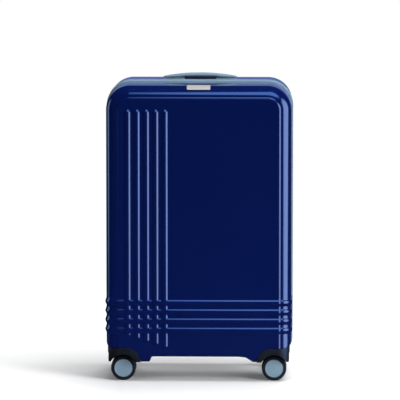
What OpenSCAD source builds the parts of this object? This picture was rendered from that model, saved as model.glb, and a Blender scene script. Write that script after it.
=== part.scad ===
// Four-wheel hard shell suitcase, standing upright on its casters.
// +Z is up, the front panel faces -Y and the origin is on the floor under the middle of the case.
// Two moulded half shells meet at a zip on three sides and a woven hinge on the left side.

/* [Shell] */
// Width across the two side walls
shell_w = 426; // [380:1:520]
// Height of the shell from its flat bottom to its flat top
shell_h = 626; // [500:1:760]
// Depth from the front panel to the back panel
case_d = 274; // [250:1:340]
// Thickness of the moulded shell
wall = 2.5; // [1.5:0.1:3.5]
// Radius of the two top corners of the outline
top_corner_r = 56; // [40:1:70]
// Radius of the two bottom corners of the outline
low_corner_r = 28; // [26:1:36]
// Radius of the long edge between a side wall and the face
edge_r = 26; // [18:1:26]
// Radius of the lower edge between the flat bottom and the face
low_edge_r = 9; // [6:1:12]
// Height of the raised panel above the face around it
panel_step = 1.8; // [0.8:0.1:2.4]
// Corner radius of the raised panel
panel_r = 28; // [15:1:32]

/* [Ribs] */
// Width of a rib at its foot
rib_w = 13.7; // [10:0.1:16]
// Height of a rib
rib_h = 3; // [2:0.1:3.5]
// Distance from one rib to the next
rib_pitch = 21.4; // [18:0.1:24]
// Number of upright ribs
upright_ribs = 5; // [2:1:6]
// Number of level ribs
level_ribs = 4; // [2:1:5]
// Middle of the outermost upright rib, from the side wall
upright_in = 49.5; // [45:0.5:60]
// Upper end of the upright ribs, below the top
upright_drop = 53; // [50:1:90]
// Lower end of the outermost upright rib, above the flat bottom
upright_foot = 46; // [42:1:55]
// How much lower each next upright rib ends
foot_step = 6.75; // [0:0.25:7.5]
// Middle of the lowest level rib, above the flat bottom
level_low = 62.5; // [55:0.5:75]

/* [Seam] */
// Depth of the whole band of bindings and zip between the two shells
band_w = 36; // [30:1:44]
// Depth of one binding
binding_w = 9; // [7:0.5:11]
// Height of a binding above the shell
binding_proud = 3; // [2:0.5:3]
// Depth of a binding inside the shell's outer face
binding_in = 5; // [4:0.5:7]
// Gap between the two halves of the zip
zip_gap = 0.6; // [0.4:0.1:1]
// Half height of the woven hinge
hinge_half = 250; // [150:5:250]

/* [Casters] */
// Radius of a wheel
wheel_r = 28.5; // [26:0.5:30]
// Radius of the wheel's hub and cap
hub_r = 21; // [17:0.5:22]
// Width of one wheel of a twin pair
wheel_w = 17; // [14:0.5:17]
// Gap between the two wheels of a pair
wheel_gap = 14; // [12:0.5:14]
// Distance of the axle behind the swivel pin
trail = 8; // [6:0.5:8]
// Radius of the axle
axle_r = 3; // [2.5:0.5:4]
// Radius of the swivel pin
pin_r = 4; // [3:0.5:5]
// Distance of the skirt's lower edge above the floor
skirt_z = 45; // [42:1:46]

/* [Pull handle] */
// Distance between the middles of the two pull tubes
tube_pitch = 100; // [80:1:130]
// Width of the outer tube
tube_w = 24; // [20:0.5:28]
// Depth of the outer tube
tube_d = 14; // [13:0.5:18]
// Wall of every tube
tube_wall = 1.1; // [0.8:0.1:1.4]
// Distance of the tubes' middle in front of the back panel
tube_back = 36; // [31:1:40]
// Width of the pull grip
pull_w = 123; // [110:1:170]
// Depth of the pull grip, front to back
pull_d = 20; // [19:0.5:22]
// How deep the tray that the pull grip rests in is sunk below the bezel's lip
grip_sink = 9; // [7:0.5:10]
// How far each stage slides out
stage_travel = 200; // [100:5:220]

/* [Carry handle] */
// Length of the carry grip
carry_l = 172; // [140:1:190]
// Width of the carry grip
carry_w = 26; // [20:1:28]
// Height of the grip's top above the shell, at rest
carry_top = 17; // [16:1:24]
// How far the carry grip lifts
carry_lift = 18; // [10:1:19]

/* [Lock] */
// Height of the lock plate
lock_h = 92; // [84:1:120]
// Depth of the lock plate
lock_d = 24; // [22:1:28]
// Number dial radius
dial_r = 8; // [7:0.5:8.5]

/* [Fits] */
// Running clearance around a pin or an axle
run_gap = 0.05; // [0.03:0.01:0.08]
// Clearance of a pressed or glued fit
fit_gap = 0.02; // [0.01:0.01:0.04]
// Sliding clearance between tubes
slide_gap = 0.35; // [0.3:0.05:0.5]
// Air between pieces that pass each other
air = 0.8; // [0.5:0.1:1.2]

/* [Hidden] */
$fn = 72;

eps = 0.01;
navy = "#0b1f5c";
pale = "#93a9bd";
black = "#1d1e20";
steel = "#b9bcc0";
charcoal = "#3a3d42";

// Heights and planes
z_bottom = 2 * wheel_r;
z_top = z_bottom + shell_h;
z_mid = z_bottom + shell_h / 2;
panel_y = case_d / 2;
face_y = panel_y - panel_step;
side_x = shell_w / 2;
band_half = band_w / 2;
inner_y = face_y - wall;
panel_in = edge_r + 0.5;
proud_x = side_x + binding_proud;

// The level ribs lie a little lower than the upright ones that cross them
level_h = rib_h - 0.3;

// Casters
wall_h = 2.8;
pair_half = wheel_gap / 2 + wheel_w;
skirt_chord = sqrt(pow(wheel_r, 2) - pow(skirt_z - wheel_r, 2));
cavity_r = sqrt(pow(trail + skirt_chord, 2) + pow(pair_half, 2)) + air;
housing_x = side_x - 3;
skirt_x = housing_x - 1.5;
pin_x = skirt_x - 2.3 - cavity_r;
pin_y = panel_y - wall_h - cavity_r;
plate_t = 3;
plate_z = z_bottom + 2.5;
plate_r = 17;
roof_z = plate_z + plate_t + 3;
arch_r = wheel_r + 5;
housing_r = 32;
housing_in = pin_x - housing_r;
housing_top = roof_z + 11.5;
corner_fill = 14;
housing_back = pin_y - cavity_r - wall_h;
foot_w = 19;
head_r = 5.8;
head_t = 2.7;
screw_r = 1.6;
screw_head_r = 3.2;
screw_dx = cavity_r - 7.2;
screw_dy = cavity_r - 5.2;
web_half = wheel_gap / 2 - 1;
cap_t = 2.5;
tread_r = 3;

// Pull handle
tube_y = panel_y - tube_back;
tube_x = tube_pitch / 2;
middle_w = tube_w - 2 * (tube_wall + slide_gap);
middle_d = tube_d - 2 * (tube_wall + slide_gap);
inner_w = middle_w - 2 * (tube_wall + slide_gap);
inner_d = middle_d - 2 * (tube_wall + slide_gap);
foot_top = z_bottom + wall + 14;
bezel_top = z_top + binding_proud;
tray_z = bezel_top - grip_sink;
bezel_floor = 4;
tube_top = tray_z - bezel_floor - 2.5;
stage_foot = foot_top + 12;
pull_h = 10;
pull_z = tray_z + air;
button_w = 34;
button_d = 12;
button_travel = 3;
button_proud = 2.2;
bar_drop = 1.2;
rod_r = 1.8;
// Tray round the pull grip, and the hole in the shell that the bezel's plug fills
tray_gap = 1.2;
tray_wall = 2.2;
tray_x = pull_w / 2 + tray_gap;
tray_y = pull_d / 2 + tray_gap;
pull_slot_x = tray_x + tray_wall + fit_gap;
pull_slot_y = tray_y + tray_wall + fit_gap;
cover_t = 1.5;
cover_x = tube_x + tube_w / 2 + 5;
cover_y = tube_y - tube_d / 2 - 4;

// Carry handle, just behind the seam band
carry_y = band_half + carry_w / 2 + 3;
tang_x = 62;
tang_r = 3;
tip_z = z_top + 6.5;
tip_t = 2.6;
bar_t = 3;
bar_z = z_top - wall - carry_lift - bar_t - 3;
mount_in = 37;
mount_out = 84;
mount_h = 5;
screw_xs = [-mount_out + 6, -mount_in - 6, mount_in + 6, mount_out - 6];

// Lock, in the right side wall of the back shell
lock_y = band_half + lock_d / 2 + 1.5;
lock_in = 18;
dial_t = 7;
dial_pitch = 11;
dial_z = z_mid + lock_h / 2 - 16;
button_z = z_mid - lock_h / 2 + 16;
lock_face = proud_x - 0.6;
dial_x = proud_x - dial_r;
spindle_r = 1.5;

// Linings and straps
lining_t = 1;
lining_gap = 1;
lining_r = 30;
lining_top_r = top_corner_r - binding_in - lining_gap;
lining_low = housing_top + corner_fill + 4;
back_lining_top = bar_z - 4;
front_lining_top = z_top - wall - 3;
strap_w = 25;
strap_t = 1.4;
strap_y = cover_y - 2.2;

// Badge, bent round the top front edge; the angles run forward from straight up
badge_w = 54;
badge_t = 1.5;
badge_from = 0;
badge_span = 48;

// ---------- shared shapes, drawn face up: X across, Y up the case, Z out of the case ----------

module rounded_rect(w, h, top_r, low_r) {
    difference() {
        square([w, h], center = true);
        for (sx = [-1, 1], sy = [-1, 1]) {
            r = sy > 0 ? top_r : low_r;
            translate([sx * (w / 2 - r), sy * (h / 2 - r)]) difference() {
                translate([sx > 0 ? 0 : -r - 1, sy > 0 ? 0 : -r - 1]) square(r + 1);
                circle(r);
            }
        }
    }
}

// Sweeps a section round a rounded outline. The section's X = 0 lies on the outline.
// $low is true while the straight along the flat bottom is drawn.
module rim(w, h, top_r, low_r) {
    for (i = [0 : 3]) rotate(90 * i) {
        half = i % 2 == 0 ? w / 2 : h / 2;
        len = i % 2 == 0 ? h : w;
        r_end = i < 2 ? top_r : low_r;
        r_start = i == 1 || i == 2 ? top_r : low_r;
        translate([half, len / 2 - r_end, 0]) rotate([90, 0, 0])
            linear_extrude(len - r_end - r_start) let($low = i == 3) children();
        translate([half - r_end, len / 2 - r_end, 0])
            rotate_extrude(angle = 90) translate([r_end, 0]) let($low = false) children();
    }
}

module tub_section(side_r, low_r, t, z0, zf) {
    er = $low ? low_r : side_r;
    difference() {
        union() {
            translate([-er, z0]) square([er, zf - er - z0]);
            translate([-er, zf - er]) intersection() {
                circle(er);
                square(er);
            }
        }
        translate([-er - 1, z0 - 1]) square([er + 1 - t, zf - er - z0 + 1]);
        translate([-er, zf - er]) circle(er - t);
    }
}

// An open tub with rounded corners and a rounded edge to its face; er_low is that edge at the bottom
module tub(w, h, top_r, low_r, er, er_low, t, z0, zf) {
    rim(w, h, top_r, low_r) tub_section(er, er_low, t, z0, zf);
    translate([0, 0, zf - t]) linear_extrude(t) {
        rounded_rect(w - 2 * er, h - 2 * er, top_r - er, low_r - er);
        translate([er - w / 2, er_low - h / 2]) square([w - 2 * er, er]);
    }
}

// A rib is a segment of a circle, rib_w wide and h high where it leaves the face, sunk into the wall
module rib_section(h) {
    sink = wall / 2;
    round_r = (rib_w * rib_w / 4 + h * h) / (2 * h);
    intersection() {
        translate([0, h - round_r]) circle(round_r);
        translate([-rib_w, -sink]) square([2 * rib_w, h + sink + 1]);
    }
}

// A straight rib of the given length with two domed ends
module rib_bar(len, h) {
    translate([0, len, 0]) rotate([90, 0, 0]) linear_extrude(len) rib_section(h);
    for (end = [0, 1]) translate([0, end * len, 0]) rotate(180 * (1 - end)) rotate_extrude(angle = 180)
        intersection() {
            rib_section(h);
            translate([0, -wall]) square([rib_w, h + 2 * wall]);
        }
}

module upright_rib(i) {
    x = -side_x + upright_in + i * rib_pitch;
    low = -shell_h / 2 + upright_foot - i * foot_step + rib_w / 2;
    high = shell_h / 2 - upright_drop - rib_w / 2;
    translate([x, low, panel_y]) rib_bar(high - low, rib_h);
}

// A level rib crosses the panel, bends round both long edges and runs back along the sides
module level_rib(i) {
    y = -shell_h / 2 + level_low + i * rib_pitch;
    len = shell_w - 2 * panel_in - rib_w;
    translate([len / 2, y, panel_y]) rotate([0, 0, 90]) rib_bar(len, level_h);
    for (m = [0, 1]) mirror([m, 0, 0]) {
        translate([side_x - edge_r, y, face_y - edge_r]) rotate([90, 0, 0])
            rotate_extrude(angle = 90) translate([edge_r, 0]) rotate(-90) rib_section(rib_h);
        translate([side_x, y, band_half])
            linear_extrude(face_y - edge_r - band_half) rotate(-90) rib_section(rib_h);
    }
}

// Stands a face-up half in its place: the front half faces -Y
module front_half() { translate([0, 0, z_mid]) rotate([90, 0, 0]) children(); }
module back_half() { mirror([0, 1, 0]) front_half() children(); }

// ---------- shells ----------

// Outline of a corner housing, seen from the front, for the right-hand corner
module housing_outline() {
    translate([pin_x, skirt_z]) intersection() {
        circle(housing_r);
        translate([-housing_r, 0]) square([housing_r, housing_r]);
    }
    translate([pin_x, skirt_z]) square([side_x + 5 - pin_x, housing_top - skirt_z]);
    translate([side_x - corner_fill, housing_top]) difference() {
        square([corner_fill + 5, corner_fill]);
        translate([0, corner_fill]) circle(corner_fill);
    }
}

module corner_cut() {
    translate([0, -housing_back, 0]) rotate([90, 0, 0]) linear_extrude(panel_y) housing_outline();
    translate([pin_x, -pin_y, 0]) cylinder(h = roof_z + 3, r = cavity_r + wall_h);
}

// The moulded foot beside a housing, drawn for the front right corner
module shell_foot() {
    high = z_bottom + low_edge_r;
    translate([0, -pin_y, 0]) rotate([90, 0, 0]) linear_extrude(face_y - pin_y)
        polygon([[housing_in, skirt_z], [housing_in, high], [housing_in - foot_w - 10, high],
            [housing_in - foot_w - 5, z_bottom], [housing_in - foot_w, skirt_z]]);
}

module half_shell() {
    difference() {
        union() {
            front_half() {
                tub(shell_w, shell_h, top_corner_r, low_corner_r, edge_r, low_edge_r, wall, band_half, face_y);
                translate([0, (low_edge_r - edge_r) / 2, face_y - eps]) linear_extrude(panel_step + eps)
                    rounded_rect(shell_w - 2 * panel_in, shell_h - panel_in - low_edge_r - 0.5, panel_r, 1);
                for (i = [0 : upright_ribs - 1]) upright_rib(i);
                for (i = [0 : level_ribs - 1]) level_rib(i);
            }
            for (m = [0, 1]) mirror([m, 0, 0]) shell_foot();
        }
        for (m = [0, 1]) mirror([m, 0, 0]) corner_cut();
    }
}

module front_shell() { color(navy) half_shell(); }

module back_shell() {
    color(navy) difference() {
        mirror([0, 1, 0]) half_shell();
        translate([-pull_slot_x, tube_y - pull_slot_y, z_top - 20]) cube([2 * pull_slot_x, 2 * pull_slot_y, 40]);
        for (x = [-tang_x, tang_x]) translate([x, carry_y, z_top - 20]) cylinder(h = 40, r = tang_r + air);
        for (x = screw_xs) translate([x, carry_y, z_top - 20]) cylinder(h = 40, r = screw_r + fit_gap);
        translate([side_x - 20, lock_y - lock_d / 2 - fit_gap, z_mid - lock_h / 2 - fit_gap])
            cube([40, lock_d + 2 * fit_gap, lock_h + 2 * fit_gap]);
    }
}

// ---------- seam ----------

module seam_ring(inset, outset, y0, y1) {
    rim(shell_w, shell_h, top_corner_r, low_corner_r)
        translate([-inset, y0]) square([inset + outset, y1 - y0]);
}

module binding_section() {
    r = 2;
    y0 = band_half - binding_w;
    translate([-binding_in, y0]) square([binding_in + binding_proud - r, binding_w]);
    translate([-binding_in, y0]) square([binding_in + binding_proud, binding_w - r]);
    translate([binding_proud - r, band_half - r]) circle(r);
}

module binding() { rim(shell_w, shell_h, top_corner_r, low_corner_r) binding_section(); }

module hinge_window() {
    translate([-side_x - 20, -hinge_half, -eps]) cube([40, 2 * hinge_half, band_half]);
}

module zip_chain() {
    difference() {
        seam_ring(4, 0.5, zip_gap / 2, band_half - binding_w);
        hinge_window();
    }
}

module hinge_leaf() {
    translate([-proud_x, -hinge_half + 1, zip_gap / 2])
        cube([2.4, 2 * hinge_half - 2, band_half - binding_w - zip_gap / 2]);
}

module front_binding() { color(pale) front_half() binding(); }
module back_binding() { color(pale) back_half() binding(); }
module front_zip_chain() { color(charcoal) front_half() zip_chain(); }
module back_zip_chain() { color(charcoal) back_half() zip_chain(); }
module front_hinge_leaf() { color(charcoal) front_half() hinge_leaf(); }
module back_hinge_leaf() { color(charcoal) back_half() hinge_leaf(); }

// A slider runs on the right-hand zip chain; dir is +1 for the upper one
module zip_slider(dir) {
    x = side_x + 0.5 + 0.4;
    z = z_mid + dir * (lock_h / 2 + 14);
    color(steel) {
        translate([x, -4, z - 7]) cube([1.2, 8, 14]);
        translate([x + 1.2 - eps, -1.5, z - 4]) cube([0.6, 3, 8]);
        translate([x + 0.3, 2.5, z - 3 + dir * 20]) cube([1.2, 5, 6]);
        translate([x + 0.3, 2.5, min(z, z + dir * 20) - 2]) cube([1.2, 1.8, 24]);
    }
}
module zip_slider_upper() { zip_slider(1); }
module zip_slider_lower() { zip_slider(-1); }

// ---------- badge, bent over the top front edge ----------

module badge() {
    color(steel) translate([-badge_w / 2, -(face_y - edge_r), z_top - edge_r]) rotate([0, 90, 0])
        rotate([0, 0, 180 + badge_from]) rotate_extrude(angle = badge_span)
        translate([edge_r + fit_gap, 0]) square([badge_t, badge_w]);
}

// ---------- casters ----------

// Draws for the front right corner and mirrors to the corner (sx, sy)
module at_corner(sx, sy) {
    mirror([sx < 0 ? 1 : 0, 0, 0]) mirror([0, sy > 0 ? 1 : 0, 0]) children();
}
module at_pin(sx, sy) { at_corner(sx, sy) translate([pin_x, -pin_y, 0]) children(); }

module housing(sx, sy) {
    boss_r = pin_r + 5;
    color(black) at_corner(sx, sy) difference() {
        union() {
            intersection() {
                translate([0, -housing_back, 0]) rotate([90, 0, 0])
                    linear_extrude(panel_y - housing_back) housing_outline();
                translate([housing_in, -panel_y, skirt_z]) linear_extrude(200) difference() {
                    square([housing_x - housing_in, panel_y - housing_back]);
                    difference() {
                        translate([housing_x - housing_in - edge_r, -1]) square(edge_r + 1);
                        translate([housing_x - housing_in - edge_r, edge_r]) circle(edge_r);
                    }
                }
            }
            translate([pin_x, -pin_y, skirt_z]) cylinder(h = roof_z + 3 - skirt_z, r = cavity_r + wall_h);
        }
        // side step of the skirt
        translate([skirt_x, -panel_y - 1, skirt_z - 1]) cube([20, panel_y, roof_z - skirt_z + 1]);
        // wheel well and its front arch
        difference() {
            translate([pin_x, -pin_y, 0]) cylinder(h = roof_z, r = cavity_r);
            translate([pin_x, -pin_y, plate_z + plate_t + 0.3]) cylinder(h = 10, r = boss_r);
        }
        translate([pin_x + trail, -pin_y, wheel_r]) rotate([90, 0, 0]) cylinder(h = 60, r = arch_r);
        // pocket above the roof
        difference() {
            translate([pin_x - 20, -panel_y + 12, roof_z + 3]) cube([58, panel_y - housing_back - 16, 40]);
            translate([pin_x, -pin_y, 0]) cylinder(h = roof_z + 8, r = boss_r);
        }
        translate([pin_x, -pin_y, 0]) cylinder(h = 120, r = pin_r + fit_gap);
        translate([pin_x + screw_dx, screw_dy - pin_y, 0]) cylinder(h = 120, r = screw_r + fit_gap);
    }
}

module swivel_pin() {
    translate([0, 0, plate_z - head_t - 0.3]) cylinder(h = head_t, r = head_r);
    translate([0, 0, plate_z - head_t]) cylinder(h = roof_z + 8 - plate_z + head_t, r = pin_r);
    translate([0, 0, roof_z + 8]) cylinder(h = 3, r = pin_r + 3);
}
module housing_screw() {
    translate([screw_dx, screw_dy, roof_z + 3]) cylinder(h = 2, r = screw_head_r);
    translate([screw_dx, screw_dy, roof_z - 8]) cylinder(h = 11, r = screw_r);
}

// The two swivel pins of one half, and the screw that holds each of its housings
module caster_fixings(sy) {
    color(steel) for (sx = [-1, 1]) at_pin(sx, sy) {
        swivel_pin();
        housing_screw();
    }
}
module front_caster_fixings() { caster_fixings(-1); }
module back_caster_fixings() { caster_fixings(1); }

module fork(sx, sy) {
    color(black) at_pin(sx, sy) difference() {
        union() {
            translate([0, 0, plate_z]) cylinder(h = plate_t, r = plate_r);
            translate([0, web_half, 0]) rotate([90, 0, 0]) linear_extrude(2 * web_half) {
                polygon([[-12, plate_z + 1], [plate_r - 1, plate_z + 1], [trail + 8, wheel_r], [trail - 8, wheel_r]]);
                translate([trail, wheel_r]) circle(8);
            }
        }
        cylinder(h = 100, r = pin_r + run_gap);
        translate([0, 0, plate_z - head_t - 3]) cylinder(h = head_t + 3, r = head_r + air);
        translate([trail, 30, wheel_r]) rotate([90, 0, 0]) cylinder(h = 60, r = axle_r + fit_gap);
    }
}

module on_axle(sx, sy) {
    at_pin(sx, sy) translate([trail, 0, wheel_r]) rotate([90, 0, 0]) children();
}
module both_wheels() { for (m = [0, 1]) mirror([0, 0, m]) children(); }

module axle(sx, sy) {
    len = 2 * (pair_half - cap_t - 0.5);
    color(steel) on_axle(sx, sy) cylinder(h = len, r = axle_r, center = true);
}

module tyres(sx, sy) {
    // the rounding is limited by the tyre's own thickness
    r = min(tread_r, (wheel_r - hub_r - fit_gap) / 2 - eps);
    color(black) on_axle(sx, sy) both_wheels() translate([0, 0, wheel_gap / 2])
        rotate_extrude() {
            translate([hub_r + fit_gap, 0]) square([wheel_r - r - hub_r - fit_gap, wheel_w - 1]);
            translate([hub_r + fit_gap, r]) square([wheel_r - hub_r - fit_gap, wheel_w - 1 - 2 * r]);
            for (y = [r, wheel_w - 1 - r]) translate([wheel_r - r, y]) circle(r);
        }
}

module hubs(sx, sy) {
    color(charcoal) on_axle(sx, sy) both_wheels() translate([0, 0, wheel_gap / 2 + 0.3]) difference() {
        cylinder(h = wheel_w - cap_t - 0.3, r = hub_r);
        translate([0, 0, -1]) cylinder(h = wheel_w + 2, r = axle_r + run_gap);
        translate([0, 0, -1]) difference() {
            cylinder(h = 7, r = hub_r - 4);
            cylinder(h = 7, r = axle_r + 4);
        }
    }
}

module caps(sx, sy) {
    color(pale) on_axle(sx, sy) both_wheels() translate([0, 0, pair_half - cap_t])
        cylinder(h = cap_t, r = hub_r - 0.3);
}

// ---------- pull handle ----------

module box_tube(w, d, z0, z1) {
    for (x = [-tube_x, tube_x]) translate([x, tube_y, z0]) linear_extrude(z1 - z0) difference() {
        square([w, d], center = true);
        square([w - 2 * tube_wall, d - 2 * tube_wall], center = true);
    }
}
module trolley_outer_tubes() { color(steel) box_tube(tube_w, tube_d, foot_top, tube_top); }
module trolley_middle_tubes() { color(steel) box_tube(middle_w, middle_d, stage_foot, tube_top + 1); }
module trolley_inner_tubes() { color(steel) box_tube(inner_w, inner_d, stage_foot + 12, pull_z); }

module trolley_foot() {
    color(black) translate([-cover_x + 3, tube_y - tube_d / 2 - 1, z_bottom + wall])
        cube([2 * cover_x - 6, tube_d + 8, foot_top - z_bottom - wall]);
}

module trolley_bezel() {
    low = tray_z - bezel_floor - 6;
    color(black) difference() {
        union() {
            translate([0, tube_y, low]) linear_extrude(bezel_top - low)
                rounded_rect(2 * (tray_x + tray_wall), 2 * (tray_y + tray_wall), 4, 4);
            translate([0, tube_y, z_top + fit_gap]) linear_extrude(binding_proud - fit_gap)
                rounded_rect(2 * (pull_slot_x + 3), 2 * (pull_slot_y + 3), 7, 7);
        }
        // tray of the pull grip
        translate([0, tube_y, tray_z]) linear_extrude(grip_sink + 1) rounded_rect(2 * tray_x, 2 * tray_y, 10, 10);
        for (x = [-tube_x, tube_x]) translate([x, tube_y, 0]) {
            translate([0, 0, low - 1]) linear_extrude(tray_z - bezel_floor - low + 1)
                square([tube_w + 0.1, tube_d + 0.1], center = true);
            translate([0, 0, low - 1]) linear_extrude(40)
                square([middle_w + 2 * slide_gap, middle_d + 2 * slide_gap], center = true);
        }
    }
}

module trolley_cover() {
    h = back_lining_top - foot_top;
    color(charcoal) difference() {
        translate([-cover_x, cover_y, foot_top + 1]) cube([2 * cover_x, inner_y - cover_y - 1, h - 1]);
        translate([-cover_x + cover_t, cover_y + cover_t, foot_top]) cube([2 * (cover_x - cover_t), 200, h + 5]);
    }
}

module pull_grip() {
    top = pull_z + pull_h;
    color(black) difference() {
        translate([0, tube_y, pull_z]) linear_extrude(pull_h) rounded_rect(pull_w, pull_d, 9, 9);
        // well of the button
        translate([-button_w / 2 - 0.4, tube_y - button_d / 2 - 0.4, top - bar_drop - button_travel - 0.4])
            cube([button_w + 0.8, button_d + 0.8, 10]);
        // channel of the release bar, with its travel
        translate([-tube_x - 4, tube_y - 2.6, top - bar_drop - 2 - button_travel - 0.4])
            cube([2 * tube_x + 8, 5.2, 2.6 + button_travel]);
        for (x = [-tube_x, tube_x]) translate([x, tube_y, pull_z - 1]) cylinder(h = 6, r = rod_r + 0.4);
    }
}

module pull_button() {
    color(charcoal) translate([-button_w / 2, tube_y - button_d / 2, pull_z + pull_h - bar_drop])
        cube([button_w, button_d, bar_drop + button_proud]);
}

module release_bar() {
    low = pull_z + pull_h - bar_drop - 2;
    color(steel) {
        translate([-tube_x - 3, tube_y - 2, low]) cube([2 * tube_x + 6, 4, 2]);
        for (x = [-tube_x, tube_x]) translate([x, tube_y, stage_foot + 60])
            cylinder(h = low + eps - stage_foot - 60, r = rod_r);
    }
}

// ---------- carry handle ----------

module carry_grip() {
    half = carry_l / 2;
    rise = z_top + carry_top - tip_z - tip_t;
    arc_r = (half * half + rise * rise) / (2 * rise);
    color(pale) {
        translate([0, carry_y + carry_w / 2, 0]) rotate([90, 0, 0]) linear_extrude(carry_w) difference() {
            intersection() {
                translate([0, z_top + carry_top - arc_r]) circle(arc_r, $fn = 360);
                translate([-half, tip_z]) square([carry_l, 40]);
            }
            translate([0, tip_z + 1.2]) square([2 * mount_in, 2.4], center = true);
        }
        for (x = [-tang_x, tang_x]) translate([x, carry_y, bar_z + bar_t])
            cylinder(h = tip_z + 1 - bar_z - bar_t, r = tang_r);
    }
}

module carry_mounts() {
    color(pale) for (m = [0, 1]) mirror([m, 0, 0]) difference() {
        translate([mount_in, carry_y - carry_w / 2 + 3, z_top]) cube([mount_out - mount_in, carry_w - 6, mount_h]);
        translate([tang_x, carry_y, z_top - 1]) cylinder(h = 20, r = tang_r + 0.08);
        for (x = [mount_in + 6, mount_out - 6]) translate([x, carry_y, z_top - 1])
            cylinder(h = mount_h, r = screw_r + fit_gap);
    }
}

module carry_crossbar() {
    color(steel) translate([-tang_x - 7, carry_y - 6, bar_z]) cube([2 * tang_x + 14, 12, bar_t]);
}

module carry_screws() {
    color(steel) for (x = screw_xs) translate([x, carry_y, 0]) {
        translate([0, 0, z_top - wall - 2]) cylinder(h = 2, r = screw_head_r);
        translate([0, 0, z_top - wall]) cylinder(h = wall + mount_h - 2, r = screw_r);
    }
}

// ---------- lock ----------

module lock_body() {
    low = dial_z - 2.5 * dial_pitch;
    color(black) {
        difference() {
            translate([lock_face - lock_in, lock_y - lock_d / 2, z_mid - lock_h / 2])
                cube([lock_in, lock_d, lock_h]);
            for (i = [0 : 2]) translate([dial_x, lock_y, dial_z - i * dial_pitch - dial_t / 2 - 0.4])
                cylinder(h = dial_t + 0.8, r = dial_r + 0.5);
            translate([lock_face - 4, lock_y - 6.4, button_z - 8.4]) cube([10, 12.8, 16.8]);
        }
        translate([dial_x, lock_y, low]) cylinder(h = dial_z + dial_pitch / 2 - low, r = spindle_r - run_gap);
    }
}

module lock_dial(i) {
    color(steel) translate([dial_x, lock_y, dial_z - i * dial_pitch - dial_t / 2]) difference() {
        cylinder(h = dial_t, r = dial_r);
        translate([0, 0, -1]) cylinder(h = dial_t + 2, r = spindle_r);
    }
}
module lock_dial_1() { lock_dial(0); }
module lock_dial_2() { lock_dial(1); }
module lock_dial_3() { lock_dial(2); }

module lock_button() {
    color(pale) translate([lock_face - 1.6, lock_y - 6, button_z - 8]) cube([1.8, 12, 16]);
}

// ---------- inside ----------

module lining_tub(low, high, top_r) {
    w = shell_w - 2 * (binding_in + lining_gap);
    translate([0, 0, (low + high) / 2]) rotate([90, 0, 0])
        tub(w, high - low, top_r, lining_r, edge_r - 4, edge_r - 4, lining_t, band_half + 1, inner_y - 1.5);
}

module front_lining() { color("#4a4f58") lining_tub(lining_low, front_lining_top, lining_top_r); }

module back_lining() {
    low = lining_low;
    gap = 0.6;
    color("#4a4f58") difference() {
        union() {
            mirror([0, 1, 0]) lining_tub(low, back_lining_top, lining_r);
            translate([-cover_x - gap - lining_t, cover_y - gap - lining_t, low])
                cube([2 * (cover_x + gap + lining_t), inner_y - 2 - cover_y, back_lining_top - low]);
        }
        translate([-cover_x - gap, cover_y - gap, low - 50]) cube([2 * (cover_x + gap), 200, shell_h]);
        translate([lock_face - lock_in - 1, lock_y - lock_d / 2 - 1, z_mid - lock_h / 2 - 1])
            cube([60, lock_d + 2, lock_h + 2]);
    }
}

module packing_strap() {
    x = side_x - binding_in - lining_gap - lining_t - 3;
    color(black) translate([-x, strap_y - strap_t, z_mid - strap_w / 2]) cube([2 * x, strap_t, strap_w]);
}
module strap_buckle() {
    color(charcoal) translate([-22, strap_y - strap_t - 4.5, z_mid - 16]) cube([44, 4.5, 32]);
}

front_shell();
back_shell();
front_binding();
back_binding();
front_zip_chain();
back_zip_chain();
front_hinge_leaf();
back_hinge_leaf();
badge();
housing(-1, -1);  // housing_front_left
housing(1, -1);  // housing_front_right
housing(-1, 1);  // housing_back_left
housing(1, 1);  // housing_back_right
front_caster_fixings();
back_caster_fixings();
fork(-1, -1);  // fork_front_left
fork(1, -1);  // fork_front_right
fork(-1, 1);  // fork_back_left
fork(1, 1);  // fork_back_right
axle(-1, -1);  // axle_front_left
axle(1, -1);  // axle_front_right
axle(-1, 1);  // axle_back_left
axle(1, 1);  // axle_back_right
tyres(-1, -1);  // tyres_front_left
tyres(1, -1);  // tyres_front_right
tyres(-1, 1);  // tyres_back_left
tyres(1, 1);  // tyres_back_right
hubs(-1, -1);  // hubs_front_left
hubs(1, -1);  // hubs_front_right
hubs(-1, 1);  // hubs_back_left
hubs(1, 1);  // hubs_back_right
caps(-1, -1);  // caps_front_left
caps(1, -1);  // caps_front_right
caps(-1, 1);  // caps_back_left
caps(1, 1);  // caps_back_right
trolley_outer_tubes();
trolley_middle_tubes();
trolley_inner_tubes();
trolley_bezel();
trolley_foot();
trolley_cover();
pull_grip();
pull_button();
release_bar();
carry_grip();
carry_mounts();
carry_crossbar();
carry_screws();
lock_body();
lock_dial_1();
lock_dial_2();
lock_dial_3();
lock_button();
zip_slider_upper();
zip_slider_lower();
front_lining();
back_lining();
packing_strap();
strap_buckle();
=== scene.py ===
"""Looks of a four-wheel hard shell suitcase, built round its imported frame."""

import logging
import math
from dataclasses import dataclass
from enum import Enum
from typing import Callable, Iterable, Sequence

import bpy
from bpy.types import Material, Node, NodeSocket, NodeTree, Object
from mathutils import Matrix, Vector, noise

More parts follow.
